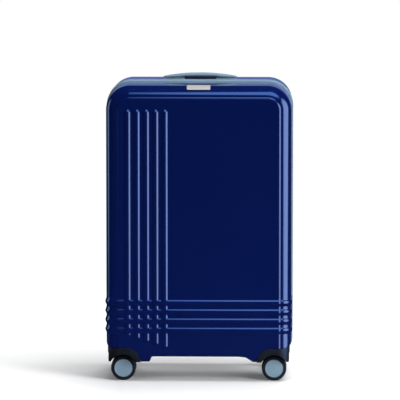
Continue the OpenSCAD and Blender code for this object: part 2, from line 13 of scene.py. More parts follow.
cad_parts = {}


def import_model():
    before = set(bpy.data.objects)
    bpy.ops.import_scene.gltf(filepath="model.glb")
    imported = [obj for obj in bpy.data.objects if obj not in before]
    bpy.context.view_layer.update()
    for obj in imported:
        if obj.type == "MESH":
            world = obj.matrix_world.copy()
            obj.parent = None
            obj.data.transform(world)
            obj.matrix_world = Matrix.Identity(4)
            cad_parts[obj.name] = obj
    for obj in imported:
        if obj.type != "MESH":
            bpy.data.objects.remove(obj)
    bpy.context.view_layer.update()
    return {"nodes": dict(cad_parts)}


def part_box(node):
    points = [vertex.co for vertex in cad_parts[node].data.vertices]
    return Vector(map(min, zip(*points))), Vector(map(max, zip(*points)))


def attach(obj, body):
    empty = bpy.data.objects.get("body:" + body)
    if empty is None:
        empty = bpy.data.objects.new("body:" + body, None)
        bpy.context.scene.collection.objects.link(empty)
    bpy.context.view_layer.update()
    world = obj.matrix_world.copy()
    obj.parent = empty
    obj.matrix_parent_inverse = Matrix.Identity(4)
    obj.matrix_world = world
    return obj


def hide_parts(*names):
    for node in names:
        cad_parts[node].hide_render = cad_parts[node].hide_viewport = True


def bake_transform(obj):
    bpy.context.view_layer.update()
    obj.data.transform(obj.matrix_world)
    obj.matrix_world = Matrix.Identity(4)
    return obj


logging.basicConfig(level=logging.INFO, format="%(levelname)s %(message)s")
LOG = logging.getLogger("suitcase")
MM = 0.001
Point = tuple[float, float, float]
Profile = list[tuple[float, float]]
Height = Callable[[float, float, float, float], float]


class Half(Enum):
    """The two halves of the case, each with the side of the seam it lies on."""

    FRONT = -1
    BACK = 1

    @property
    def label(self) -> str:
        """Word that the node names of this half begin with."""
        return self.name.lower()

    @property
    def body(self) -> str:
        """Name of the CAD body of this half."""
        return self.label + "_half"


class Corner(Enum):
    """The four casters, each with its half of the case."""

    FRONT_LEFT = (-1, Half.FRONT)
    FRONT_RIGHT = (1, Half.FRONT)
    BACK_LEFT = (-1, Half.BACK)
    BACK_RIGHT = (1, Half.BACK)

    @property
    def label(self) -> str:
        """Ending of this corner's node and body names."""
        return self.name.lower()


# ---------------------------------------------------------------- shader nodes


def add_node(tree: NodeTree, kind: str, values: dict | None = None, **settings: object) -> Node:
    """Adds a shader node.

    Args:
        tree: the tree it goes in.
        kind: its type, without the ShaderNode that every type begins with.
        values: values of its inputs, by name or number.
        settings: properties of the node itself.

    Returns:
        The new node.
    """
    node = tree.nodes.new("ShaderNode" + kind)
    for key, value in settings.items():
        setattr(node, key, value)
    for key, value in (values or {}).items():
        node.inputs[key].default_value = value
    return node


def add_texture(tree: NodeTree, kind: str, place: NodeSocket, scale: NodeSocket, values: dict | None = None,
                **settings: object) -> NodeSocket:
    """Adds a texture.

    Args:
        tree: the tree it goes in.
        kind: its type, as for add_node.
        place: where it is read.
        scale: how fine it is.
        values: values of its inputs.
        settings: properties of the node itself.

    Returns:
        Its mask.
    """
    texture = add_node(tree, kind, values, **settings)
    tree.links.new(place, texture.inputs["Vector"])
    tree.links.new(scale, texture.inputs["Scale"])
    return texture.outputs["Fac"]


def start_group(name: str, key: str, scale: float, slow: float,
                detail: float = 2.0) -> tuple[NodeTree, NodeSocket, NodeSocket, NodeSocket]:
    """Starts the shader group of a surface: its sockets, and the slow noise that gives its tone.

    Args:
        name: name of the group.
        key: name of the input that sets how fine the surface is.
        scale: default of that input.
        slow: default scale of the slow noise.
        detail: octaves of the slow noise.

    Returns:
        The group, the place on the piece, the fine scale and the output for the height.
    """
    group = bpy.data.node_groups.new(name, "ShaderNodeTree")
    for socket, value in ((key, scale), ("Slow", slow)):
        group.interface.new_socket(socket, in_out="INPUT", socket_type="NodeSocketFloat").default_value = value
    for socket in ("Height", "Tone"):
        group.interface.new_socket(socket, in_out="OUTPUT", socket_type="NodeSocketFloat")
    given, out = group.nodes.new("NodeGroupInput"), group.nodes.new("NodeGroupOutput")
    place = add_node(group, "TexCoord").outputs["Object"]
    tone = add_texture(group, "TexNoise", place, given.outputs["Slow"], {"Detail": detail})
    group.links.new(tone, out.inputs["Tone"])
    return group, place, given.outputs[key], out.inputs["Height"]


def grain_group() -> NodeTree:
    """Fine moulded grain over slow unevenness."""
    group, place, scale, height = start_group("moulded_grain", "Scale", 900.0, 6.0, 3.0)
    group.links.new(add_texture(group, "TexNoise", place, scale), height)
    return group


def weave_group() -> NodeTree:
    """Plain weave of two crossing threads in the XZ plane."""
    group, place, scale, height = start_group("plain_weave", "Threads", 900.0, 9.0)
    cross = add_node(group, "Math", operation="MAXIMUM")
    for i, axis in enumerate("XZ"):
        wave = add_texture(group, "TexWave", place, scale, {"Distortion": 0.6}, bands_direction=axis)
        group.links.new(wave, cross.inputs[i])
    group.links.new(cross.outputs[0], height)
    return group


def brushed_group() -> NodeTree:
    """Long fine scratches along X, as a brushing belt leaves them."""
    group, place, scale, height = start_group("brushed_metal", "Scale", 60.0, 12.0)
    turn = add_node(group, "Mapping", {"Scale": (1.0, 60.0, 60.0)})
    group.links.new(place, turn.inputs["Vector"])
    group.links.new(add_texture(group, "TexNoise", turn.outputs["Vector"], scale), height)
    return group


class Surface(Enum):
    """Kinds of fine surface, each made once as a shader group."""

    MOULDED = "moulded_grain"
    WOVEN = "plain_weave"
    BRUSHED = "brushed_metal"

    def group(self) -> NodeTree:
        """The shader group of this surface, made when it is first asked for."""
        makers = {Surface.MOULDED: grain_group, Surface.WOVEN: weave_group, Surface.BRUSHED: brushed_group}
        return bpy.data.node_groups.get(self.value) or makers[self]()


@dataclass(frozen=True)
class Finish:
    """One finish of the case.

    Lows and highs are the ends between which the tone mask moves colour and roughness.
    """

    name: str
    dark: Point
    light: Point
    rough_low: float
    rough_high: float
    surface: Surface = Surface.MOULDED
    scale: float = 900.0
    slow: float = 6.0
    bump: float = 0.05
    bump_depth: float = 0.00005
    metallic: float = 0.0
    coat: float = 0.0
    coat_rough: float = 0.03
    sheen: float = 0.0

    def material(self) -> Material:
        """Builds the node material of this finish.

        Returns:
            The material, or the one already built.
        """
        found = bpy.data.materials.get(self.name)
        if found:
            return found
        mat = bpy.data.materials.new(self.name)
        mat.use_nodes = True
        tree, link = mat.node_tree, mat.node_tree.links.new
        shader = tree.nodes["Principled BSDF"]
        for key, value in (("Metallic", self.metallic), ("Coat Weight", self.coat),
                           ("Coat Roughness", self.coat_rough), ("Sheen Weight", self.sheen)):
            shader.inputs[key].default_value = value
        grain = add_node(tree, "Group", {0: self.scale, 1: self.slow}, node_tree=self.surface.group())
        tint = add_node(tree, "Mix", {6: (*self.dark, 1), 7: (*self.light, 1)}, data_type="RGBA")
        gloss = add_node(tree, "MapRange", {"From Min": 0.3, "From Max": 0.7, "To Min": self.rough_low,
                                            "To Max": self.rough_high})
        bump = add_node(tree, "Bump", {"Strength": self.bump, "Distance": self.bump_depth})
        link(grain.outputs["Tone"], tint.inputs[0])
        link(grain.outputs["Tone"], gloss.inputs["Value"])
        link(grain.outputs["Height"], bump.inputs["Height"])
        link(tint.outputs[2], shader.inputs["Base Color"])
        link(gloss.outputs["Result"], shader.inputs["Roughness"])
        link(bump.outputs["Normal"], shader.inputs["Normal"])
        return mat

    def dress(self, obj: Object) -> None:
        """Gives the whole object this finish."""
        obj.data.materials.clear()
        obj.data.materials.append(self.material())


NAVY = Finish("polished_navy_shell", (0.0010, 0.0070, 0.078), (0.0014, 0.0085, 0.090), 0.10, 0.15,
              scale=420.0, bump=0.02, coat=1.0, coat_rough=0.035)
PALE_BLUE = Finish("pale_blue_satin", (0.19, 0.285, 0.365), (0.215, 0.315, 0.395), 0.34, 0.42, bump=0.08)
CAP_BLUE = Finish("pale_blue_cap", (0.21, 0.325, 0.42), (0.235, 0.35, 0.45), 0.36, 0.44, bump=0.06)
HOUSING_BLACK = Finish("grained_black", (0.005, 0.0055, 0.006), (0.008, 0.0085, 0.009), 0.45, 0.55,
                       scale=1400.0, bump=0.25)
FORK_BLACK = Finish("satin_black", (0.012, 0.013, 0.014), (0.016, 0.017, 0.018), 0.35, 0.45, bump=0.15)
TYRE = Finish("tyre_rubber", (0.008, 0.008, 0.0085), (0.013, 0.013, 0.0135), 0.55, 0.7, scale=1800.0, bump=0.3)
HUB_GREY = Finish("hub_grey", (0.03, 0.032, 0.035), (0.04, 0.042, 0.046), 0.4, 0.5, bump=0.1)
STEEL = Finish("brushed_steel", (0.42, 0.43, 0.45), (0.55, 0.56, 0.58), 0.22, 0.34, Surface.BRUSHED,
               scale=60.0, bump=0.15, metallic=1.0)
ALUMINIUM = Finish("anodised_tube", (0.50, 0.51, 0.53), (0.60, 0.61, 0.63), 0.26, 0.34, Surface.BRUSHED,
                   scale=40.0, bump=0.1, metallic=1.0)
CHAMPAGNE = Finish("champagne_plate", (0.58, 0.565, 0.54), (0.68, 0.665, 0.64), 0.30, 0.42, Surface.BRUSHED,
                   scale=60.0, bump=0.12, metallic=0.35)
GRIP_BLACK = Finish("soft_touch_black", (0.017, 0.018, 0.020), (0.024, 0.025, 0.027), 0.5, 0.6,
                    scale=1600.0, bump=0.25)
BUTTON_GREY = Finish("button_grey", (0.07, 0.075, 0.08), (0.09, 0.095, 0.10), 0.38, 0.46, bump=0.1)
LINING = Finish("lining_cloth", (0.060, 0.070, 0.092), (0.085, 0.098, 0.124), 0.75, 0.9, Surface.WOVEN,
                scale=500.0, bump=0.5, bump_depth=0.0003, sheen=0.3)
TAPE = Finish("zip_tape_cloth", (0.014, 0.016, 0.024), (0.022, 0.025, 0.035), 0.7, 0.85, Surface.WOVEN,
              scale=700.0, bump=0.5, bump_depth=0.0002, sheen=0.2)
TEETH = Finish("zip_coil", (0.02, 0.022, 0.03), (0.03, 0.033, 0.042), 0.3, 0.4, bump=0.1)
WEBBING = Finish("strap_webbing", (0.012, 0.013, 0.016), (0.022, 0.023, 0.027), 0.7, 0.85, Surface.WOVEN,
                 scale=350.0, bump=0.7, bump_depth=0.0004, sheen=0.2)


# ---------------------------------------------------------------- modelling tools


def deselect() -> None:
    """Leaves nothing selected and the active object in object mode."""
    if bpy.context.object and bpy.context.object.mode != "OBJECT":
        bpy.ops.object.mode_set(mode="OBJECT")
    bpy.ops.object.select_all(action="DESELECT")


def only(obj: Object) -> None:
    """Makes the object the one selected and active object."""
    deselect()
    obj.select_set(True)
    bpy.context.view_layer.objects.active = obj


def edit(obj: Object, pick: str = "SELECT") -> None:
    """Opens an object in edit mode.

    Args:
        obj: the object.
        pick: SELECT or DESELECT for all of it, or nothing to leave what is selected.
    """
    only(obj)
    bpy.ops.object.mode_set(mode="EDIT")
    if pick:
        bpy.ops.mesh.select_all(action=pick)


def end_edit() -> None:
    """Leaves edit mode."""
    bpy.ops.object.mode_set(mode="OBJECT")


def added(name: str = "") -> Object:
    """The primitive that was just added, with its place and size in its mesh.

    Args:
        name: name for it, or nothing for a tool.

    Returns:
        The primitive.
    """
    obj = bpy.context.object
    bpy.ops.object.transform_apply(location=True, rotation=True, scale=True)
    if name:
        obj.name = obj.data.name = name
    return obj


def apply_modifiers(obj: Object) -> None:
    """Applies every modifier of the object, in order."""
    only(obj)
    for mod in list(obj.modifiers):
        bpy.ops.object.modifier_apply(modifier=mod.name)


def smooth(obj: Object, degrees: float = 40.0) -> None:
    """Shades smooth, keeping edges sharper than the angle crisp."""
    only(obj)
    bpy.ops.object.shade_smooth_by_angle(angle=math.radians(degrees))


def clean(obj: Object, gap: float = 1e-6) -> None:
    """Merges doubles and turns all faces outwards."""
    edit(obj)
    bpy.ops.mesh.remove_doubles(threshold=gap)
    bpy.ops.mesh.normals_make_consistent(inside=False)
    end_edit()


def settle(obj: Object, slot: str, body: str, *nodes: str) -> None:
    """Hands a finished piece to the frame and reports it.

    Args:
        obj: the piece.
        slot: name of the material slot its finish belongs to; not used.
        body: the CAD body it moves with, or nothing to leave it unattached.
        nodes: the CAD nodes it stands for, where they aren't named yet.
    """
    if nodes:
        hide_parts(*nodes)
    if body:
        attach(obj, body)
    LOG.info("%s built", obj.name)


def arc(x: float, y: float, radius: float, start: float, stop: float, steps: int) -> Profile:
    """Points along an arc, both ends included.

    Args:
        x: first coordinate of its centre.
        y: second coordinate of its centre.
        radius: its radius.
        start: where it starts, in quarter turns from the first axis.
        stop: where it stops, in quarter turns.
        steps: number of equal steps.

    Returns:
        The points.
    """
    turns = [math.pi / 2 * (start + (stop - start) * k / steps) for k in range(steps + 1)]
    return [(x + radius * math.cos(a), y + radius * math.sin(a)) for a in turns]


def in_metres(points: Profile) -> Profile:
    """The same points, from millimetres."""
    return [(a * MM, b * MM) for a, b in points]


def sheet_from_grid(name: str, columns: int, rows: int, place: Callable[[int, int], Point]) -> Object:
    """Adds a grid and moves each of its vertices to its place.

    Args:
        name: name of the new piece.
        columns: number of faces across.
        rows: number of faces up.
        place: gives a vertex's place from its column and row.

    Returns:
        The shaped grid.
    """
    deselect()
    bpy.ops.mesh.primitive_grid_add(x_subdivisions=columns, y_subdivisions=rows, size=2)
    obj = added(name)
    for vertex in obj.data.vertices:
        i = round((vertex.co.x + 1) / 2 * columns)
        j = round((vertex.co.y + 1) / 2 * rows)
        vertex.co = place(i, j)
    return obj


def spun(name: str, profile: Profile, steps: int = 96) -> Object:
    """Spins a closed profile round the Y axis.

    Args:
        name: name of the new piece.
        profile: points as (radius, y) in metres, in order.
        steps: number of faces round.

    Returns:
        The closed ring or disc.
    """
    deselect()
    bpy.ops.mesh.primitive_circle_add(vertices=len(profile), radius=1)
    obj = added(name)
    for vertex, (radius, y) in zip(obj.data.vertices, profile):
        vertex.co = (radius, y, 0.0)
    edit(obj)
    bpy.ops.mesh.spin(steps=steps, angle=2 * math.pi, center=(0, 0, 0), axis=(0, 1, 0))
    end_edit()
    clean(obj, 1e-5)
    return obj


def moved(obj: Object, matrix: Matrix) -> Object:
    """Moves a mesh, and turns it outwards again when it was mirrored.

    Args:
        obj: the piece.
        matrix: the move.

    Returns:
        The same piece.
    """
    obj.data.transform(matrix)
    if matrix.determinant() < 0:
        obj.data.flip_normals()
    return obj


def copied(obj: Object, name: str) -> Object:
    """Copies a piece together with its mesh.

    Args:
        obj: the piece.
        name: name of the copy.

    Returns:
        The copy.
    """
    twin = obj.copy()
    twin.data = obj.data.copy()
    twin.name = twin.data.name = name
    bpy.context.collection.objects.link(twin)
    return twin


def joined(parts: Sequence[Object], name: str) -> Object:
    """Joins pieces of one material.

    Args:
        parts: the pieces.
        name: name of the whole.

    Returns:
        The one piece they become.
    """
    deselect()
    for part in parts:
        part.select_set(True)
    bpy.context.view_layer.objects.active = parts[0]
    bpy.ops.object.join()
    parts[0].name = parts[0].data.name = name
    return parts[0]


def cut(obj: Object, tool: Object) -> None:
    """Takes the tool's volume out of the piece and removes the tool."""
    mod = obj.modifiers.new("cut", "BOOLEAN")
    mod.operation, mod.object, mod.solver = "DIFFERENCE", tool, "MANIFOLD"
    apply_modifiers(obj)
    bpy.data.objects.remove(tool)


def box_tool(low: Sequence[float], high: Sequence[float]) -> Object:
    """A plain cutting box.

    Args:
        low: its lowest corner, in metres.
        high: its highest corner, in metres.

    Returns:
        The box.
    """
    deselect()
    middle = [(a + b) / 2 for a, b in zip(low, high)]
    bpy.ops.mesh.primitive_cube_add(size=1, location=middle, scale=[b - a for a, b in zip(low, high)])
    return added()


def pin_tool(x: float, y: float, low: float, high: float, radius: float) -> Object:
    """A plain upright cutting cylinder, with all sizes in metres.

    Args:
        x: X of its axis.
        y: Y of its axis.
        low: Z of its lower end.
        high: Z of its upper end.
        radius: its radius.

    Returns:
        The cylinder.
    """
    deselect()
    bpy.ops.mesh.primitive_cylinder_add(vertices=96, radius=radius, depth=high - low,
                                        location=(x, y, (low + high) / 2))
    return added()


def outline_tool(points: Profile, y0: float, y1: float) -> Object:
    """A cutting prism: an outline in the XZ plane drawn out along Y.

    Args:
        points: the outline, in metres.
        y0: Y of its first end.
        y1: Y of its other end.

    Returns:
        The prism.
    """
    deselect()
    bpy.ops.mesh.primitive_circle_add(vertices=len(points), radius=1, fill_type="NGON")
    obj = added()
    for vertex, (x, z) in zip(obj.data.vertices, points):
        vertex.co = (x, y0, z)
    edit(obj)
    bpy.ops.mesh.extrude_region_move(TRANSFORM_OT_translate={"value": (0, y1 - y0, 0)})
    end_edit()
    clean(obj)
    return obj


def refined(nodes: dict, node: str, finish: Finish, bevel: float = 0.5, segments: int = 3,
            name: str = "") -> Object:
    """Makes a finished piece from a CAD node's shape: merged, with softened edges.

    Args:
        nodes: the frame's nodes.
        node: name of the CAD node.
        finish: its finish.
        bevel: edge radius in millimetres.
        segments: faces across a softened edge.
        name: name of the new piece.

    Returns:
        The new piece, which replaces the node.
    """
    obj = copied(nodes[node], name or node + "_piece")
    obj.parent = None
    obj.hide_render = obj.hide_viewport = False
    clean(obj, 2e-6)
    edit(obj)
    bpy.ops.mesh.dissolve_limited(angle_limit=math.radians(0.5))
    end_edit()
    mod = obj.modifiers.new("soft_edges", "BEVEL")
    mod.width, mod.segments, mod.limit_method = bevel * MM, segments, "ANGLE"
    mod.angle_limit = math.radians(38)
    mod.use_clamp_overlap = True
    apply_modifiers(obj)
    smooth(obj, 30)
    finish.dress(obj)
    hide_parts(node)
    return obj


def smooth_max(a: float, b: float, blend: float) -> float:
    """The larger of two heights, with the crease between them filled over the blend width."""
    t = min(1.0, max(0.0, 0.5 + 0.5 * (a - b) / blend))
    return b * (1 - t) + a * t + blend * t * (1 - t)


def ease(t: float) -> float:
    """Smooth step from 0 to 1."""
    t = min(1.0, max(0.0, t))
    return t * t * (3 - 2 * t)


def spaced(stops: Iterable[tuple[float, int]], start: float) -> list[float]:
    """Positions along a line.

    Args:
        stops: positions to run through, each with its number of equal steps before it.
        start: the first position.

    Returns:
        All positions, in order.
    """
    out = [start]
    for stop, steps in stops:
        base = out[-1]
        out += [base + (stop - base) * (k + 1) / steps for k in range(steps)]
    return out


# ---------------------------------------------------------------- shells and linings


@dataclass
class TubForm:
    """An open tub: a face, rounded long edges and side walls, all sizes in millimetres.

    Rings run outwards from a rectangle inside the face, round the edge and back to the seam.
    """

    half_w: float
    low: float
    high: float
    face: float
    seam: float
    corner: float = 56.0
    low_corner: float = 28.0
    edge: float = 26.0
    low_edge: float = 9.0
    shift_rings: int = 23

    def __post_init__(self) -> None:
        """Works out the side path and the bottom path, each point as (out, depth, normal out, normal depth)."""
        self.side_path = self._path(self.corner, self.edge)
        self.low_path = self._path(self.low_corner, self.low_edge)
        self.rings = len(self.side_path) - 1

    def _path(self, corner: float, edge: float) -> list[tuple[float, float, float, float]]:
        """Lays one path from the face, round the edge and back to the seam.

        Args:
            corner: how far out the wall is from the innermost ring.
            edge: radius of the long edge.

        Returns:
            The path's points.
        """
        flat = corner - edge
        fine = min(5.0, flat / 3)
        path = [(r, self.face, 0.0, 1.0) for r in spaced([(flat - fine, 15), (flat, 8)], 0.0)]
        depth = self.face - edge
        path += [(flat + edge * out, depth + edge * up, out, up) for out, up in arc(0.0, 0.0, 1.0, 1, 0, 14)[1:]]
        path += [(corner, depth + (self.seam - depth) * k / 8, 1.0, 0.0) for k in range(1, 9)]
        return path

    def build(self, name: str, columns: list[float], rows: list[float], side: int, wall: float,
              base: Height, full: Height, shift: Callable[[float, float], float] | None) -> Object:
        """Builds the tub: an even wall on the base form, its outer skin then raised to the full form.

        Args:
            name: name of the piece.
            columns: X of the middle columns, in millimetres.
            rows: Z of the middle rows, in millimetres.
            side: -1 for the front half, 1 for the back half.
            wall: thickness of the wall, in millimetres.
            base: how far both skins stand off, from (x, z, depth, normal depth).
            full: how far the outer skin stands off, from the same.
            shift: how far the outer skin's bottom is lowered, from (x, depth), where it is.

        Returns:
            The closed tub wall.
        """
        order: list[tuple[int, int]] = []

        def plain(i: int, j: int) -> Point:
            """Place of a grid vertex on the base form."""
            order.append((i, j))
            return self._place(i, j, columns, rows, side, base, None)

        obj = sheet_from_grid(name, 2 * self.rings + len(columns) - 1, 2 * self.rings + len(rows) - 1, plain)
        if side > 0:
            obj.data.flip_normals()
        mod = obj.modifiers.new("wall", "SOLIDIFY")
        mod.thickness, mod.offset = wall * MM, -1.0
        apply_modifiers(obj)
        for vertex, (i, j) in zip(obj.data.vertices, order):
            vertex.co = self._place(i, j, columns, rows, side, full, shift)
        return obj

    def _place(self, i: int, j: int, columns: list[float], rows: list[float], side: int,
               height: Height, shift: Callable[[float, float], float] | None) -> Point:
        """Places a grid vertex on the tub.

        Args:
            i: its column in the whole grid.
            j: its row in the whole grid.
            columns: X of the middle columns.
            rows: Z of the middle rows.
            side: -1 for the front half, 1 for the back half.
            height: how far the skin stands off there.
            shift: how far the bottom is lowered there.

        Returns:
            The place, in metres.
        """
        rings, m, n = self.rings, len(columns) - 1, len(rows) - 1
        across, low, top = max(rings - i, i - rings - m, 0), max(0, rings - j), max(0, j - rings - n)
        sx, sz = (-1 if i < rings else 1), (-1 if low else 1)
        up = max(low, top)
        ring = max(across, up)
        if up == 0:
            angle = 0.0
        elif across <= up:
            angle = math.pi / 2 - math.pi / 4 * across / up
        else:
            angle = math.pi / 4 * up / across
        blend = math.sin(angle) ** 2 if low else 0.0
        out, depth, n_out, n_depth = (a * (1 - blend) + b * blend
                                      for a, b in zip(self.side_path[ring], self.low_path[ring]))
        low_out = self.low_path[ring][0] if low else self.side_path[ring][0]
        x = columns[min(max(i - rings, 0), m)] + sx * self.side_path[ring][0] * math.cos(angle)
        z = rows[min(max(j - rings, 0), n)] + sz * low_out * math.sin(angle)
        lift = height(x, z, depth, n_depth)
        x += sx * lift * n_out * math.cos(angle)
        z += sz * lift * n_out * math.sin(angle)
        if low and shift:
            z -= shift(x, depth) * min(1.0, low / self.shift_rings)
        return (x * MM, side * (depth + lift * n_depth) * MM, z * MM)


@dataclass
class RibPattern:
    """Raised panel and ribs of a half shell, in millimetres, Z counted from the floor."""

    half_w: float
    low: float
    high: float
    rib_w: float = 13.7
    rib_h: float = 3.0
    level_h: float = 2.7
    pitch: float = 21.4
    upright_in: float = 49.5
    upright_drop: float = 53.0
    upright_foot: float = 46.0
    foot_step: float = 6.75
    level_low: float = 62.5
    uprights: int = 5
    levels: int = 4
    panel_in: float = 26.5
    panel_r: float = 28.0
    panel_step: float = 1.8
    fillet: float = 0.9
    crown: float = 2.4

    def _segment(self, distance: float, h: float) -> float:
        """Height of a rounded rib at a distance from its middle line.

        Args:
            distance: the distance.
            h: the rib's full height.

        Returns:
            The height, far below zero off the rib.
        """
        radius = (self.rib_w ** 2 / 4 + h * h) / (2 * h)
        if distance >= radius:
            return -radius
        return h - radius + math.sqrt(radius * radius - distance * distance)

    def upright_ends(self, i: int) -> tuple[float, float, float]:
        """Middle X of an upright rib, with its lower and upper end."""
        x = -self.half_w + self.upright_in + i * self.pitch
        return x, self.low + self.upright_foot - i * self.foot_step, self.high - self.upright_drop

    def ribs(self, x: float, z: float, n_depth: float) -> float:
        """Height of the ribs above the surface.

        Args:
            x: X of the point.
            z: Z of the point.
            n_depth: how squarely the surface faces away from the seam.

        Returns:
            The height.
        """
        lift = 0.0
        if n_depth > 0.99:
            for i in range(self.uprights):
                mid, z0, z1 = self.upright_ends(i)
                if abs(x - mid) < self.rib_w:
                    gap = max(z0 + self.rib_w / 2 - z, z - z1 + self.rib_w / 2, 0.0)
                    lift = smooth_max(self._segment(math.hypot(x - mid, gap), self.rib_h), lift, self.fillet)
        for i in range(self.levels):
            gap = abs(z - self.low - self.level_low - i * self.pitch)
            if gap < self.rib_w:
                lift = smooth_max(self._segment(gap, self.level_h), lift, self.fillet)
        return lift

    def panel(self, x: float, z: float) -> float:
        """Height of the raised panel, with the shallow crease round it.

        Args:
            x: X of the point.
            z: Z of the point.

        Returns:
            The height.
        """
        hw = self.half_w - self.panel_in
        mid = (self.low + self.high) / 2
        dx = abs(x) - hw + self.panel_r
        dz = (z - mid) - (self.high - self.panel_in - mid) + self.panel_r
        if z < mid:
            dz = -1.0
        if dx > 0 and dz > 0:
            out = math.hypot(dx, dz) - self.panel_r
        else:
            out = max(dx, dz) - self.panel_r
        crease = -0.45 * math.exp(-((out - 1.6) / 1.3) ** 2)
        return self.panel_step * ease(0.5 - out / 2.6) + crease

    def height(self, x: float, z: float, depth: float, n_depth: float) -> float:
        """Whole height over the plain tub."""
        level = self.panel(x, z) * ease(n_depth * 1.6 - 0.4) if n_depth > 0.3 else 0.0
        return level + self.ribs(x, z, n_depth) + self.bow(x, z, depth, n_depth)

    def bow(self, x: float, z: float, depth: float, n_depth: float) -> float:
        """Slight crown of the big face: how far the form falls away from the middle, as a negative height."""
        mid = (self.low + self.high) / 2
        fall = (x / self.half_w) ** 2 + 0.5 * ((z - mid) / (self.high - mid)) ** 4
        return -self.crown * fall * max(0.0, n_depth)


@dataclass
class HousingForm:
    """Outline of a corner housing and its well, for the right-hand corner, in millimetres."""

    pin_x: float = 166.007
    pin_y: float = 94.007
    skirt: float = 45.0
    round_r: float = 32.0
    top: float = 77.0
    fill: float = 14.0
    side: float = 213.0
    back: float = 51.0
    well_r: float = 40.19
    well_wall: float = 2.8
    roof: float = 65.5

    def outline(self, reach: float, gap: float = 0.0) -> Profile:
        """Draws the outline from the inner foot, over the top and down the outside.

        Args:
            reach: how far out it goes.
            gap: how far it stands off the housing.

        Returns:
            Its points, in metres.
        """
        foot = self.skirt - 20
        points = arc(self.pin_x, self.skirt, self.round_r + gap, 2, 1, 24)
        points += arc(self.side - self.fill, self.top + self.fill, self.fill - gap, -1, 0, 12)
        points += [(reach, self.top + self.fill), (reach, foot), (self.pin_x - self.round_r - gap, foot)]
        return in_metres(points)


@dataclass
class ShellHalf:
    """One moulded half shell, in millimetres: its outer form, ribs, feet and cut-outs."""

    half: Half
    wall: float = 2.5
    bottom: float = 57.0
    foot_drop: float = 12.0
    foot_from: float = 107.0
    foot_to: float = 114.0
    side_proud: float = 3.0
    face_proud: float = 4.8
    seam: float = 18.0
    corner_cut: float = 0.15
    bezel_lip: float = 3.0
    pin_x: float = 62.0
    pin_hole: float = 3.8

    def __post_init__(self) -> None:
        """Takes the outer sizes of this half from the frame."""
        low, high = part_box(self.half.label + "_shell")
        self.sx = high[0] / MM - self.side_proud
        self.top = high[2] / MM
        self.face = max(abs(low[1]), abs(high[1])) / MM - self.face_proud
        self.housing = HousingForm()
        self.pattern = RibPattern(self.sx, self.bottom, self.top)

    def foot(self, x: float, depth: float) -> float:
        """How far the moulded foot lowers the bottom."""
        across = ease((abs(x) - self.foot_from) / (self.foot_to - self.foot_from))
        return self.foot_drop * across * ease((depth - 56) / 8)

    def columns(self) -> list[float]:
        """X of the middle columns: close together under the upright ribs."""
        inner = self.sx - 56.0
        return spaced([(-68.0, 62), (inner, 14)], -inner)

    def rows(self) -> list[float]:
        """Z of the middle rows: close together at the level ribs and the rib ends."""
        return spaced([(198.0, 66), (self.top - 76.0, 16), (self.top - 56.0, 12)], self.bottom + 28.0)

    def build(self) -> None:
        """Models the shell, cuts its corners and openings and dresses it."""
        form = TubForm(self.sx, self.bottom, self.top, self.face, self.seam)
        name = self.half.label + "_shell_moulding"
        obj = form.build(name, self.columns(), self.rows(), self.half.value, self.wall, self.pattern.bow,
                         self.pattern.height, self.foot)
        for sx in (-1, 1):
            self._cut_corner(obj, sx)
        if self.half is Half.BACK:
            self._cut_openings(obj)
        smooth(obj, 50)
        NAVY.dress(obj)
        settle(obj, "shell_navy", self.half.body, self.half.label + "_shell")

    def _cut_corner(self, obj: Object, sx: int) -> None:
        """Makes room for a corner housing.

        Args:
            obj: the shell.
            sx: -1 for the left corner, 1 for the right one.
        """
        form, sy = self.housing, self.half.value
        points = [(sx * x, z) for x, z in form.outline(240.0, self.corner_cut)]
        cut(obj, outline_tool(points, sy * form.back * MM, sy * 0.2))
        cut(obj, pin_tool(sx * form.pin_x * MM, sy * form.pin_y * MM, 0.0, (form.roof + 3.1) * MM,
                          (form.well_r + form.well_wall + 0.1) * MM))

    def _cut_openings(self, obj: Object) -> None:
        """Opens the back shell for the bezel, the lock and the carry grip's pins."""
        bezel_low, bezel_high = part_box("trolley_bezel")
        lip = self.bezel_lip * MM
        cut(obj, box_tool((bezel_low[0] + lip, bezel_low[1] + lip, bezel_low[2] - 0.01),
                          (bezel_high[0] - lip, bezel_high[1] - lip, bezel_high[2] + 0.01)))
        lock_low, lock_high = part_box("lock_body")
        cut(obj, box_tool(lock_low, (lock_high[0] + 0.02, lock_high[1], lock_high[2])))
        low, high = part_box("carry_crossbar")
        mid_y = (low[1] + high[1]) / 2
        for sx in (-1, 1):
            cut(obj, pin_tool(sx * self.pin_x * MM, mid_y, self.top * MM - 0.01, self.top * MM + 0.01,
                              self.pin_hole * MM))


# ---------------------------------------------------------------- seam


